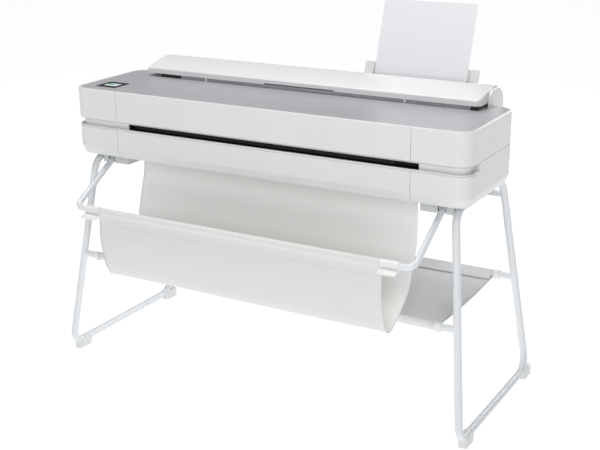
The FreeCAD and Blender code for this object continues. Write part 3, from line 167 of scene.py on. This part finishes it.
def metal(name, colour, roughness, stretch):
    """Drawn or machined metal: scratches run along the axis that is stretched least."""
    material, shader = new_material(name, colour, roughness, 1.0)
    lines = noise_at(material, place_of(material, stretch), 1.0, 4.0, 0.6)
    link(material, between(material, lines, shade(colour, 0.86), shade(colour, 1.1)), shader,
         "Base Color")
    link(material, span(material, lines, roughness - 0.08, roughness + 0.1), shader,
         "Roughness")
    roughen(material, shader, lines, 0.00002)
    return material


def woven(name, colour, pitch, depth, roughness=0.85, tint=0.04, painted_light_to=None, **sockets):
    """Plain weave: threads over and under each other, drawn from the cloth's own lengths,
    which its mesh carries in the attribute called lay. Up to the length given in the last
    argument, the cloth is painted a little paler: painted light on a part that hangs in shade."""
    material, shader = new_material(name, colour, roughness, **sockets)
    lay = add(material, "Attribute", {"attribute_name": "lay"}).outputs["Vector"]
    split = add(material, "SeparateXYZ", Vector=lay).outputs

    def thread(length):
        turns = add(material, "Math", {"operation": "MULTIPLY"}, _0=length,
                    _1=math.pi / pitch).outputs[0]
        return add(material, "Math", {"operation": "SINE"}, _0=turns).outputs[0]

    crossing = add(material, "Math", {"operation": "MULTIPLY"}, _0=thread(split["X"]),
                   _1=thread(split["Y"])).outputs[0]
    height = add(material, "MapRange", Value=crossing, From_Min=-1.0, From_Max=1.0,
                 To_Min=0.0, To_Max=1.0).outputs["Result"]
    slub = noise_at(material, lay, 140.0, 3.0)
    ups = add(material, "Math", {"operation": "ADD"}, _0=height, _1=slub).outputs[0]
    cloud = noise_at(material, lay, 7.0, 3.0)
    tone = add(material, "Math", {"operation": "MULTIPLY_ADD"}, _0=slub, _1=0.5,
               _2=cloud).outputs[0]
    share = span(material, tone, -0.5, 1.5)
    mixed = between(material, share, shade(colour, 1 - tint), shade(colour, 1 + tint))
    # Painted light: up to that length the cloth takes a paler copy of its colour, in place of
    # light on cloth that hangs in shade.
    if painted_light_to:
        pale = between(material, share, shade(colour, 1.27 - tint), shade(colour, 1.27 + tint))
        past = add(material, "MapRange", Value=split["Y"], From_Min=painted_light_to - 0.05,
                   From_Max=painted_light_to + 0.05, To_Min=0.0, To_Max=1.0).outputs["Result"]
        mixed = add(material, "Mix", {"data_type": "RGBA"}, _0=past, _6=pale,
                    _7=mixed).outputs[2]
    link(material, mixed, shader, "Base Color")
    roughen(material, shader, ups, depth)
    return material


def paper(name, colour):
    """Uncoated paper: very fine fibres."""
    material, shader = new_material(name, colour, 0.7)
    place = place_of(material)
    fibres = noise_at(material, place, 320.0, 5.0, 0.7)
    link(material, between(material, fibres, shade(colour, 0.985), shade(colour, 1.01)), shader,
         "Base Color")
    roughen(material, shader, fibres, 0.00002)
    return material


def rubber(name, colour, roughness=0.75):
    """Ground rubber, with a dusty bloom."""
    material, shader = new_material(name, colour, roughness)
    place = place_of(material)
    bloom = noise_at(material, place, 80.0, 5.0)
    link(material, between(material, bloom, shade(colour, 0.8), shade(colour, 1.6)), shader,
         "Base Color")
    roughen(material, shader, noise_at(material, place, 1500.0), 0.00004)
    return material


def glass_panel(name, colour):
    """Polished black panel with faint finger marks."""
    material, shader = new_material(name, colour, 0.1, Specular_IOR_Level=0.12)
    marks = noise_at(material, place_of(material), 90.0, 5.0)
    link(material, span(material, marks, 0.05, 0.2), shader, "Roughness")
    link(material, between(material, marks, colour, shade(colour, 1.8)), shader, "Base Color")
    return material


def circuit_board(name, colour):
    """Solder mask over copper tracks."""
    material, shader = new_material(name, colour, 0.3)
    tracks = add(material, "TexBrick", Vector=place_of(material), Scale=90.0,
                 Mortar_Size=0.04, Color1=(*colour, 1), Color2=(*shade(colour, 1.2), 1),
                 Mortar=(*shade(colour, 1.9), 1))
    link(material, tracks.outputs["Color"], shader, "Base Color")
    roughen(material, shader, tracks.outputs["Fac"], 0.00005)
    return material


def glowing(name, colour, strength):
    """A lit part of the display, slightly uneven as a backlight is."""
    material, shader = new_material(name, colour, 0.25, Emission_Strength=strength)
    drift = noise_at(material, place_of(material), 60.0)
    tone = between(material, drift, shade(colour, 0.92), colour)
    link(material, tone, shader, "Base Color")
    link(material, tone, shader, "Emission Color")
    return material


WHITE = (0.755, 0.765, 0.76)
GREY = (0.44, 0.435, 0.46)
TUBE = (0.78, 0.81, 0.835)
BASKET = (0.745, 0.74, 0.725)
SHELF = (0.74, 0.75, 0.755)

MATERIALS = {
    "white_plastic": moulded("white_plastic", WHITE, 0.34, Coat_Weight=0.15,
                             Coat_Roughness=0.3),
    "grey_panel": moulded("grey_panel", GREY, 0.3, grain=None, Coat_Weight=0.2,
                          Coat_Roughness=0.25),
    "groove_plastic": moulded("groove_plastic", (0.74, 0.755, 0.75), 0.4),
    "black_plastic": moulded("black_plastic", (0.012, 0.012, 0.013), 0.5, mottle=0.2,
                             grain=0.0009, depth=0.00004),
    "touch_glass": glass_panel("touch_glass", (0.008, 0.008, 0.009)),
    "roll_hub": moulded("roll_hub", (0.10, 0.14, 0.20), 0.42, mottle=0.05),
    "white_paint": powder_coat("white_paint", TUBE),
    "bracket_plastic": moulded("bracket_plastic", (0.66, 0.69, 0.685), 0.42),
    "steel": metal("steel", (0.56, 0.56, 0.57), 0.32, (30, 900, 900)),
    "aluminium": metal("aluminium", (0.72, 0.72, 0.73), 0.28, (900, 900, 60)),
    "rubber": rubber("rubber", (0.025, 0.025, 0.025)),
    # Painted light: the first 0.4 m of the basket cloth, the panel that hangs under the
    # housing, is painted paler to make up for the shade it hangs in.
    "basket_cloth": woven("basket_cloth", BASKET, 0.0011, 0.00012, 0.8, 0.025, 0.4,
                          Sheen_Weight=0.25, Sheen_Roughness=0.5),
    "shelf_cloth": woven("shelf_cloth", SHELF, 0.0013, 0.00016, 0.85, 0.05,
                         Sheen_Weight=0.3, Sheen_Roughness=0.5),
    "clip_plastic": moulded("clip_plastic", (0.85, 0.845, 0.83), 0.32),
    "paper": paper("paper", (0.83, 0.825, 0.855)),
    "ink_plastic": moulded("ink_plastic", (0.03, 0.031, 0.035), 0.38, mottle=0.1),
    "board": circuit_board("board", (0.015, 0.11, 0.05)),
    # Painted shade: the colour of the dark bluish-grey strip that darkens the gap under the
    # roll cover.
    "painted_gap_shade": rubber("painted_gap_shade", (0.33, 0.335, 0.37), 0.6),
    "thread": paper("thread", (0.70, 0.695, 0.68)),
    "display_white": glowing("display_white", (0.72, 0.76, 0.78), 0.12),
    "display_green": glowing("display_green", (0.05, 0.24, 0.08), 0.15),
    "display_blue": glowing("display_blue", (0.25, 0.55, 0.74), 0.15),
}

for part in frame["record"]["subparts"]:
    mesh = frame["nodes"][part["node"]].data
    mesh.materials.clear()
    mesh.materials.append(MATERIALS[part["material_slot"]])


# ---------------------------------------------------------------- mesh tools

def mesh_object(name, points, faces, slot=None, smooth=True):
    """A new object with its mesh and, where a slot is given, that slot's material."""
    mesh = bpy.data.meshes.new(name)
    mesh.from_pydata([tuple(point) for point in points], [], faces)
    mesh.validate()
    piece = bpy.data.objects.new(name, mesh)
    bpy.context.scene.collection.objects.link(piece)
    for polygon in mesh.polygons:
        polygon.use_smooth = smooth
    if slot:
        mesh.materials.append(MATERIALS[slot])
    return piece


def with_modifier(piece, kind, **settings):
    """The piece with a modifier worked into its mesh."""
    modifier = piece.modifiers.new(kind.lower(), kind)
    for setting, value in settings.items():
        setattr(modifier, setting, value)
    bpy.context.view_layer.update()
    graph = bpy.context.evaluated_depsgraph_get()
    mesh = bpy.data.meshes.new_from_object(piece.evaluated_get(graph))
    piece.modifiers.clear()
    old = piece.data
    piece.data = mesh
    bpy.data.meshes.remove(old)
    mesh.name = piece.name
    return piece


def even_path(points, step):
    """Points step apart along a smooth curve through a few given ones."""
    samples = []
    padded = [2 * points[0] - points[1], *points, 2 * points[-1] - points[-2]]
    for before, start, end, after in zip(padded, padded[1:], padded[2:], padded[3:]):
        for index in range(24):
            t = index / 24
            samples.append(0.5 * (2 * start + (end - before) * t
                                  + (2 * before - 5 * start + 4 * end - after) * t ** 2
                                  + (3 * start - before - 3 * end + after) * t ** 3))
    samples.append(points[-1])
    lengths = [0.0]
    for first, second in zip(samples, samples[1:]):
        lengths.append(lengths[-1] + (second - first).length)
    count = max(2, round(lengths[-1] / step))
    path = []
    at = 0
    for index in range(count + 1):
        want = lengths[-1] * index / count
        while at < len(samples) - 2 and lengths[at + 1] < want:
            at += 1
        share = (want - lengths[at]) / max(lengths[at + 1] - lengths[at], 1e-9)
        path.append(samples[at].lerp(samples[at + 1], min(share, 1.0)))
    return path


def path_length(path):
    """How long a path is."""
    return sum((second - first).length for first, second in zip(path, path[1:]))


def normal_at(path, index):
    """The direction square to a path in the YZ plane, to its left."""
    along = path[min(index + 1, len(path) - 1)] - path[max(index - 1, 0)]
    return Vector((-along.y, along.x)).normalized()


def cloth_strip(name, path, width, slot, ripple, thickness, columns=96):
    """A strip of cloth whose section follows a path of (y, z) points. width(share) is half
    its width along X, and ripple(x, share) is how far a point stands out along its normal."""
    points, lay, faces = [], [], []
    total = path_length(path)
    run = 0.0
    for row, spot in enumerate(path):
        if row:
            run += (spot - path[row - 1]).length
        out = normal_at(path, row)
        half = width(run / total)
        for column in range(columns + 1):
            x = half * (2 * column / columns - 1)
            place = spot + out * ripple(x, run / total)
            points.append((x, place.x, place.y))
            lay.append((x, run, 0.0))
    for row in range(len(path) - 1):
        for column in range(columns):
            corner = row * (columns + 1) + column
            faces.append((corner, corner + 1, corner + columns + 2, corner + columns + 1))
    piece = mesh_object(name, points, faces, slot)
    attribute = piece.data.attributes.new("lay", "FLOAT_VECTOR", "POINT")
    attribute.data.foreach_set("vector", [value for triple in lay for value in triple])
    return with_modifier(piece, "SOLIDIFY", thickness=thickness, offset=0.0)


def ring_path(centre, radius, start, turn):
    """Points round a bar: angles in degrees, counted from +Y towards +Z."""
    count = max(2, round(abs(turn) / 20))
    return [centre + radius * Vector((math.cos(math.radians(start + turn * index / count)),
                                      math.sin(math.radians(start + turn * index / count))))
            for index in range(count + 1)]


def stitches(name, starts, way, up, slot):
    """Short threads that lie on cloth: each starts at a point, and all run the same way."""
    length, width, height = 3.2 * MM, 0.9 * MM, 0.5 * MM
    side = way.cross(up).normalized() * width / 2
    points, faces = [], []
    for start in starts:
        base = len(points)
        for share, lift in ((0.0, 0.1), (0.25, 0.9), (0.75, 0.9), (1.0, 0.1)):
            spot = start + way * length * share
            points += [spot + side, spot + up * height * lift, spot - side]
        for step in range(3):
            corner = base + 3 * step
            faces += [(corner, corner + 3, corner + 4, corner + 1),
                      (corner + 1, corner + 4, corner + 5, corner + 2),
                      (corner + 2, corner + 5, corner + 3, corner)]
        faces += [(base, base + 1, base + 2), (base + 11, base + 10, base + 9)]
    return mesh_object(name, points, faces, slot)


# ---------------------------------------------------------------- basket cloth

def basket_bar():
    """The centre of the basket's bar, as (y, z)."""
    return Vector((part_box("basket_frame")[0].y + BAR_RADIUS,
                   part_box("basket_front")[1].z - HEM_ABOVE_BAR))


def basket_cloth():
    """One sheet of cloth: it hangs from under the housing, turns up in front, goes over the
    basket's bar and is sewn back on itself as a sleeve."""
    back_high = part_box("basket_back")[1]
    half = back_high.x
    bar = basket_bar()
    top = Vector((back_high.y - 2 * MM, back_high.z))
    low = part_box("basket_front")[0].z + 1 * MM
    drop = top.y - low
    reach = top.x - bar.x

    def hang(back, up):
        """A point by its share of the way to the bar and of the height above the bottom."""
        return Vector((top.x - reach * back, low + drop * up))

    def under(ahead, below):
        """A point below the bar, in millimetres."""
        return Vector((bar.x - ahead * MM, bar.y - below * MM))

    points = [top, hang(0.011, 0.82), hang(0.05, 0.70), hang(0.097, 0.575),
              hang(0.134, 0.493), hang(0.195, 0.377), hang(0.281, 0.245), hang(0.36, 0.18),
              hang(0.45, 0.13), hang(0.53, 0.09), hang(0.61, 0.052), hang(0.70, 0.015),
              hang(0.79, 0.0), hang(0.87, 0.038), hang(0.925, 0.10), hang(0.965, 0.19),
              hang(0.994, 0.28), hang(1.013, 0.37), hang(1.014, 0.43), under(2.0, 45),
              under(1.0, 28), under(-0.6, 15),
              *ring_path(bar, BAR_RADIUS + SLEEVE_PLAY, -62, 310),
              under(2.2, 15), under(2.4, 28), under(3.2, 47)]
    path = even_path(points, 5 * MM)

    def ripple(x, share):
        """Slow waves where the cloth hangs free, and a slight outward curl at its sides."""
        slow = noise.noise(Vector((x * 2.2, share * 2.6, 3.0)))
        quick = noise.noise(Vector((x * 7.0, share * 4.0, 8.0)))
        free = min(1.0, share * 6, max(0.0, 0.84 - share) * 6)
        edge = max(0.0, abs(x) / half - 0.86) / 0.14
        return free * ((2.4 * slow + 0.6 * quick) * MM + 1.5 * MM * edge ** 2)

    def width(share):
        """The cloth is pulled in a little where it hangs, and is widest at mid-height."""
        places = ((0.0, 0.990), (0.2, 1.011), (0.55, 1.002), (0.7, 1.0), (1.0, 1.0))
        for (start, first), (end, second) in zip(places, places[1:]):
            if share <= end:
                return half * (first + (second - first) * (share - start) / (end - start))
        return half

    sheet = cloth_strip("basket_cloth", path, width, "basket_cloth", ripple, CLOTH)
    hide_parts("basket_back", "basket_front")
    return sheet, path, half


basket, basket_path, basket_half = basket_cloth()
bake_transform(basket)


# ---------------------------------------------------------------- shelf cloth

def shelf_cloth():
    """A sling of grey cloth: it is sewn round both shelf bars and sags between them."""
    bars_low, bars_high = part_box("shelf_bars")
    radius = (bars_high.z - bars_low.z) / 2
    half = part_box("shelf_fabric")[1].x
    front = Vector((bars_low.y + radius, (bars_low.z + bars_high.z) / 2))
    rear = Vector((bars_high.y - radius, front.y))
    sleeve = radius + SLEEVE_PLAY
    hem = 34 * MM
    sag = 7 * MM
    middle = (front + rear) / 2
    under = front.y - sleeve
    points = [Vector((rear.x - hem, under + 3.2 * MM)),
              Vector((rear.x - 20 * MM, rear.y - 4 * MM)),
              *ring_path(rear, sleeve, 120, -210),
              Vector((rear.x - hem, under - 1.0 * MM)),
              Vector(((rear.x + middle.x) / 2, under - 0.7 * sag)),
              Vector((middle.x, under - sag)),
              Vector(((front.x + middle.x) / 2, under - 0.7 * sag)),
              Vector((front.x + hem, under - 1.0 * MM)),
              *ring_path(front, sleeve, 270, -210),
              Vector((front.x + 20 * MM, front.y - 4 * MM)),
              Vector((front.x + hem, under + 3.2 * MM))]
    path = even_path(points, 9 * MM)

    def ripple(x, share):
        """Slight waves between the two bars."""
        free = max(0.0, min(1.0, (share - 0.2) * 8, (0.8 - share) * 8))
        return free * 1.5 * MM * noise.noise(Vector((x * 3.5, share * 5.0, 21.0)))

    sheet = cloth_strip("shelf_cloth", path, lambda share: half, "shelf_cloth", ripple, CLOTH)
    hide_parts("shelf_fabric")
    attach(sheet, "root")


shelf_cloth()


# ---------------------------------------------------------------- touch display

def rounded_plate(name, centre, size, radius, thickness, slot):
    """A thin plate with round corners that lies flat; centre is under its middle."""
    corners = []
    for turn, (side_x, side_y) in enumerate(((1, 1), (-1, 1), (-1, -1), (1, -1))):
        middle = Vector((centre.x + side_x * (size[0] / 2 - radius),
                         centre.y + side_y * (size[1] / 2 - radius)))
        for step in range(7):
            angle = math.radians(90 * turn + 15 * step)
            corners.append(middle + radius * Vector((math.cos(angle), math.sin(angle))))
    count = len(corners)
    points = [(spot.x, spot.y, centre.z) for spot in corners]
    points += [(spot.x, spot.y, centre.z + thickness) for spot in corners]
    faces = [tuple(range(count - 1, -1, -1)), tuple(range(count, 2 * count))]
    faces += [(index, (index + 1) % count, count + (index + 1) % count, count + index)
              for index in range(count)]
    return mesh_object(name, points, faces, slot, smooth=False)


def touch_display():
    """The lit display in the touch panel, with two plain blobs of colour."""
    low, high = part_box("touch_panel")
    thick = 0.15 * MM
    centre = Vector(((low.x + high.x) / 2, (low.y + high.y) / 2, high.z))
    screen = rounded_plate("touch_display", centre, (46 * MM, 33 * MM), 1.5 * MM, thick,
                           "display_white")
    top = centre + Vector((0, 0, thick))
    green = rounded_plate("display_green_tile", top + Vector((-14 * MM, 6 * MM, 0)),
                          (15 * MM, 14 * MM), 3 * MM, 0.1 * MM, "display_green")
    blue = rounded_plate("display_blue_tile", top + Vector((6 * MM, -2 * MM, 0)),
                         (17 * MM, 15 * MM), 3 * MM, 0.1 * MM, "display_blue")
    for piece in (screen, green, blue):
        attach(piece, "root")


touch_display()


# ---------------------------------------------------------------- small fittings

face_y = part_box("front_window")[0].y
half_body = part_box("lower_right_cover")[1].x


def at(x, back, up):
    """A point in millimetres; back is measured from the front face of the housing."""
    return Vector((x * MM, face_y + back * MM, up * MM))


def fitting(name, low, high, slot, edge=0.8, body="root"):
    """A moulded block between two corners, with its edges rounded."""
    corners = [(x, y, z) for x in (low.x, high.x) for y in (low.y, high.y)
               for z in (low.z, high.z)]
    faces = [(0, 1, 3, 2), (4, 6, 7, 5), (0, 4, 5, 1), (2, 3, 7, 6), (0, 2, 6, 4), (1, 5, 7, 3)]
    piece = mesh_object(name, corners, faces, slot, smooth=False)
    with_modifier(piece, "BEVEL", width=edge * MM, segments=3, limit_method="NONE")
    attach(piece, body)
    return piece


def cover_gap():
    """What shows in the gap under the roll cover: a dark bluish-grey strip of painted shade
    between two black blocks, and the cover's two white stops in front of it."""
    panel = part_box("top_panel")[1].z / MM + 0.15
    under = panel + 9.5
    stop_top = 889
    # Painted shade: a dark bluish-grey strip stands in the gap to darken it.
    fitting("cover_gap_painted_shade", at(-438, 270, panel), at(552, 274, under), "painted_gap_shade", 0.5)
    fitting("cover_block_left", at(-513, 266, panel), at(-440, 280, under), "black_plastic",
            0.5)
    fitting("cover_block_right", at(554, 259, panel), at(578, 275, under), "black_plastic",
            0.5)
    for word, x in (("left", -337), ("right", 351)):
        fitting(f"cover_stop_{word}", at(x - 3, 263.5, panel), at(x + 3, 269, stop_top),
                "white_plastic", 0.6, "roll_cover")


def groove_ends():
    """The blocks that close the groove at its two ends, where the shells come together."""
    end = half_body / MM
    for word, side in (("left", -1), ("right", 1)):
        near, far = sorted((side * (end - 14.0), side * (end - 0.6)))
        fitting(f"groove_end_{word}", at(near, 80, 756.2), at(far, 96, 782.6),
                "white_plastic", 2.4)


def slot_liners():
    """Black liners in the slots that the basket's arms come out of."""
    low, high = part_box("arm_brackets")
    top = high.z / MM - 4.2
    bottom = low.z / MM + 0.6
    for word, side in (("left", -1), ("right", 1)):
        near, far = sorted((side * 552.2, side * 575.8))
        fitting(f"slot_liner_{word}", at(near, 84.6, bottom), at(far, 86.8, top),
                "black_plastic", 0.3)
        fitting(f"slot_lid_{word}", at(near, 52.6, top - 1.2), at(far, 86.8, top),
                "black_plastic", 0.3)
        for wall, x in (("inner", near), ("outer", far - 1.0)):
            fitting(f"slot_wall_{word}_{wall}", at(x, 52.8, bottom), at(x + 1.0, 86.8, top),
                    "black_plastic", 0.3)


def seam_liner():
    """A pale strip behind the seam between the two shells, so that it isn't a black line."""
    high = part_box("lower_right_cover")[1]
    inset = 1.4 * MM
    radius = BODY_CORNER - inset
    side_x = half_body - inset
    path = [Vector((side_x, face_y + 92 * MM))]
    centre = Vector((side_x - radius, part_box("upper_rear_cover")[1].y - inset - radius))
    path += [centre + radius * Vector((math.cos(math.radians(7.5 * step)),
                                       math.sin(math.radians(7.5 * step))))
             for step in range(13)]
    path += [Vector((-spot.x, spot.y)) for spot in reversed(path)]
    points, faces = [], []
    for spot in path:
        points += [(spot.x, spot.y, high.z - 1.5 * MM), (spot.x, spot.y, high.z + 3.5 * MM)]
    for step in range(len(path) - 1):
        corner = 2 * step
        faces.append((corner, corner + 2, corner + 3, corner + 1))
    strip = mesh_object("seam_liner", points, faces, "groove_plastic")
    with_modifier(strip, "SOLIDIFY", thickness=0.8 * MM, offset=0.0)
    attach(strip, "root")


def hem_stitches():
    """A row of stitches along the basket's hem, under the bar."""
    bar = basket_bar()
    spacing = 5 * MM
    half_row = 462 * MM
    count = int(half_row / spacing)
    starts = [Vector((index * spacing, bar.x - 3.5 * MM, bar.y - 40 * MM))
              for index in range(-count, count)]
    row = stitches("basket_hem_stitches", starts, Vector((1, 0, 0)), Vector((0, -1, 0)),
                   "thread")
    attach(row, "basket")
    return row


cover_gap()
groove_ends()
slot_liners()
seam_liner()
hem_stitches()


# ---------------------------------------------------------------- stage, lights, camera

def stage():
    """A pale floor that runs on past the view, and a dim sky."""
    reach = 40.0
    floor = mesh_object("floor", [(-reach, -reach, 0), (reach, -reach, 0), (reach, reach, 0),
                                  (-reach, reach, 0)], [(0, 1, 2, 3)])
    material, shader = new_material("floor", (0.15, 0.15, 0.15), 0.9,
                                    Specular_IOR_Level=0.1, Emission_Strength=0.94,
                                    Emission_Color=(1, 1, 1, 1))
    drift = noise_at(material, place_of(material), 0.8)
    link(material, between(material, drift, (0.145,) * 3, (0.155,) * 3), shader, "Base Color")
    floor.data.materials.append(material)

    world = bpy.data.worlds.new("studio")
    world.use_nodes = True
    background = world.node_tree.nodes["Background"]
    background.inputs["Color"].default_value = (0.97, 0.985, 1.0, 1)
    background.inputs["Strength"].default_value = 0.2
    bpy.context.scene.world = world


def soft_light(name, place, aim, size, power):
    """A square soft box that faces a point."""
    light = bpy.data.lights.new(name, "AREA")
    light.shape = "SQUARE"
    light.size = size
    light.energy = power
    lamp = bpy.data.objects.new(name, light)
    lamp.location = place
    way = Vector(aim) - Vector(place)
    lamp.rotation_euler = way.to_track_quat("-Z", "Y").to_euler()
    bpy.context.scene.collection.objects.link(lamp)


def studio_camera():
    """A camera at head height, to the right of the machine, with a short telephoto lens."""
    yaw, pitch, roll = (math.radians(angle) for angle in (30.026, -18.510, -0.577))
    forward = Vector((-math.sin(yaw) * math.cos(pitch), math.cos(yaw) * math.cos(pitch),
                      math.sin(pitch)))
    level = forward.cross(Vector((0, 0, 1))).normalized()
    upright = level.cross(forward)
    right = level * math.cos(roll) + upright * math.sin(roll)
    up = upright * math.cos(roll) - level * math.sin(roll)
    camera = bpy.data.cameras.new("camera")
    camera.sensor_width = 36.0
    camera.lens = 66.538
    holder = bpy.data.objects.new("camera", camera)
    turn = Matrix((right, up, -forward)).transposed()
    holder.matrix_world = Matrix.Translation((1.6535, -2.7699, 1.5558)) @ turn.to_4x4()
    bpy.context.scene.collection.objects.link(holder)
    bpy.context.scene.camera = holder


stage()
soft_light("fill", (2.0, -4.3, 2.7), (0, 0, 0.7), 2.6, 96)
soft_light("top", (-0.5, 0.3, 4.2), (0, 0.1, 0.8), 3.0, 112)
soft_light("rear", (0.8, 4.0, 1.7), (0, 0, 0.4), 2.5, 60)
studio_camera()
bpy.context.scene.view_settings.view_transform = "Standard"
